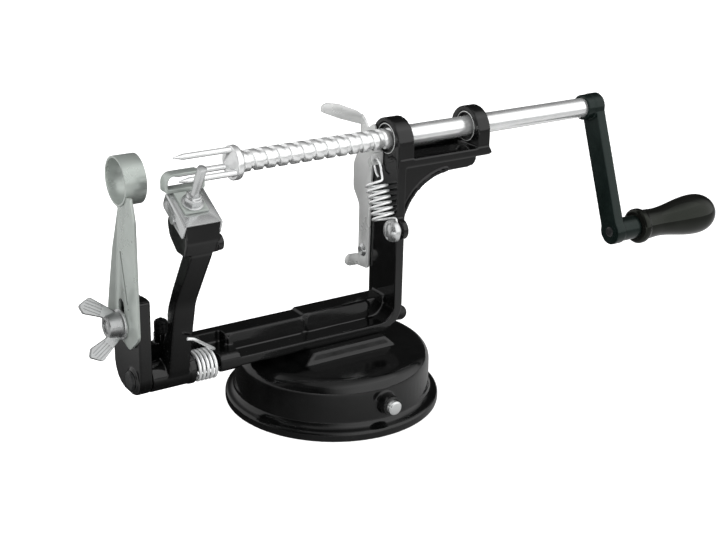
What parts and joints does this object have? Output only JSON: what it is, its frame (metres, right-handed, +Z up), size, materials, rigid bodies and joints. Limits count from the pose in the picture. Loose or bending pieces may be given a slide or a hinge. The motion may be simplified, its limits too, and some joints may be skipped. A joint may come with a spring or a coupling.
{
  "type": "hand-cranked apple peeler",
  "caption": "Hand-cranked apple peeler on a round black suction base, with a chrome feed screw, sprung peeling arm, slicing blade and side crank.",
  "frame": {"origin": "centre of the suction base on the table", "axes": "+X along the feed shaft towards the crank, +Y away from the peeling arm, +Z up"},
  "size_m": [0.3558, 0.1138, 0.1425],
  "materials": {
    "black_enamel": "gloss",
    "crank_enamel": "satin",
    "shaft_chrome": "polished",
    "bright_zinc": "satin",
    "sheet_steel": "brushed",
    "spring_wire": "polished",
    "dark_screw": "satin",
    "pad_rubber": "matte",
    "tip_vinyl": "matte",
    "grip_plastic": "gloss"
  },
  "bodies": {
    "frame": {"base_dome": "black_enamel", "frame_casting": "black_enamel", "seat_screws": "bright_zinc", "suction_pad": "pad_rubber", "lever_rivet": "bright_zinc", "release_spring": "spring_wire", "spring_screw": "bright_zinc", "pivot_rod": "dark_screw", "arm_spring": "spring_wire", "stop_screw": "dark_screw", "blade_stud": "bright_zinc", "stud_washer": "bright_zinc"},
    "bushes": {"front_bush": "sheet_steel", "rear_bush": "sheet_steel"},
    "shaft": {"feed_shaft": "shaft_chrome", "apple_fork": "shaft_chrome", "crank_arm": "crank_enamel", "grip_pin": "dark_screw"},
    "grip": {"handle_grip": "grip_plastic"},
    "release_lever": {"release_lever": "sheet_steel"},
    "peel_arm": {"peel_arm": "black_enamel", "blade_holder": "bright_zinc", "holder_rivets": "bright_zinc", "peel_blade": "sheet_steel", "blade_bolt": "bright_zinc", "blade_washer": "bright_zinc", "blade_nut": "bright_zinc"},
    "slicer": {"slicer_blade": "sheet_steel", "coring_ring": "sheet_steel"},
    "wing_nut": {"wing_nut": "bright_zinc"},
    "clamp": {"clamp_axle": "bright_zinc", "clamp_lever": "sheet_steel", "clamp_tip": "tip_vinyl", "clamp_rivet": "bright_zinc"},
    "pad_stirrup": {"pad_stirrup": "bright_zinc"}
  },
  "joints": [
    {"name": "crank_turn", "type": "hinge", "parent": "frame", "child": "bushes", "pos_m": [0.0326, 0, 0.127], "axis": [-1, 0, 0], "range_deg": [-3780, 480]},
    {"name": "shaft_feed", "type": "slide", "parent": "bushes", "child": "shaft", "axis": [-1, 0, 0], "range_m": [-0.0668, 0.0085]},
    {"name": "grip_spin", "type": "hinge", "parent": "shaft", "child": "grip", "pos_m": [0.2, -0.0238, 0.06501], "axis": [1, 0, 0], "continuous": true},
    {"name": "lever_release", "type": "hinge", "parent": "frame", "child": "release_lever", "pos_m": [0.0272, 0.0155, 0.066], "axis": [-1, 0, 0], "range_deg": [0, 7], "stiffness_Nm_per_rad": 1.5, "springref_deg": -4.58, "deforming": ["release_spring"]},
    {"name": "peel_arm_swing", "type": "hinge", "parent": "frame", "child": "peel_arm", "pos_m": [-0.0905, -0.006, 0.0355], "axis": [1, 0, 0], "range_deg": [-7, 40], "stiffness_Nm_per_rad": 0.8, "deforming": ["arm_spring"]},
    {"name": "slicer_swing", "type": "hinge", "parent": "frame", "child": "slicer", "pos_m": [-0.109, 0, 0.061], "axis": [-1, 0, 0], "range_deg": [0, 100]},
    {"name": "wing_nut_turn", "type": "hinge", "parent": "frame", "child": "wing_nut", "pos_m": [-0.114, 0, 0.061], "axis": [-1, 0, 0], "continuous": true},
    {"name": "clamp_turn", "type": "hinge", "parent": "frame", "child": "clamp", "pos_m": [0, 0, 0.0157], "axis": [0, -1, 0], "range_deg": [0, 160]},
    {"name": "pad_lift", "type": "slide", "parent": "frame", "child": "pad_stirrup", "axis": [0, 0, 1], "range_m": [0, 0.003], "deforming": ["suction_pad"]}
  ],
  "couplings": [
    {"joint": "shaft_feed", "follows": "crank_turn", "m_per_rad": 0.0010106},
    {"joint": "pad_lift", "follows": "clamp_turn", "m_per_rad": 0.0010743}
  ]
}
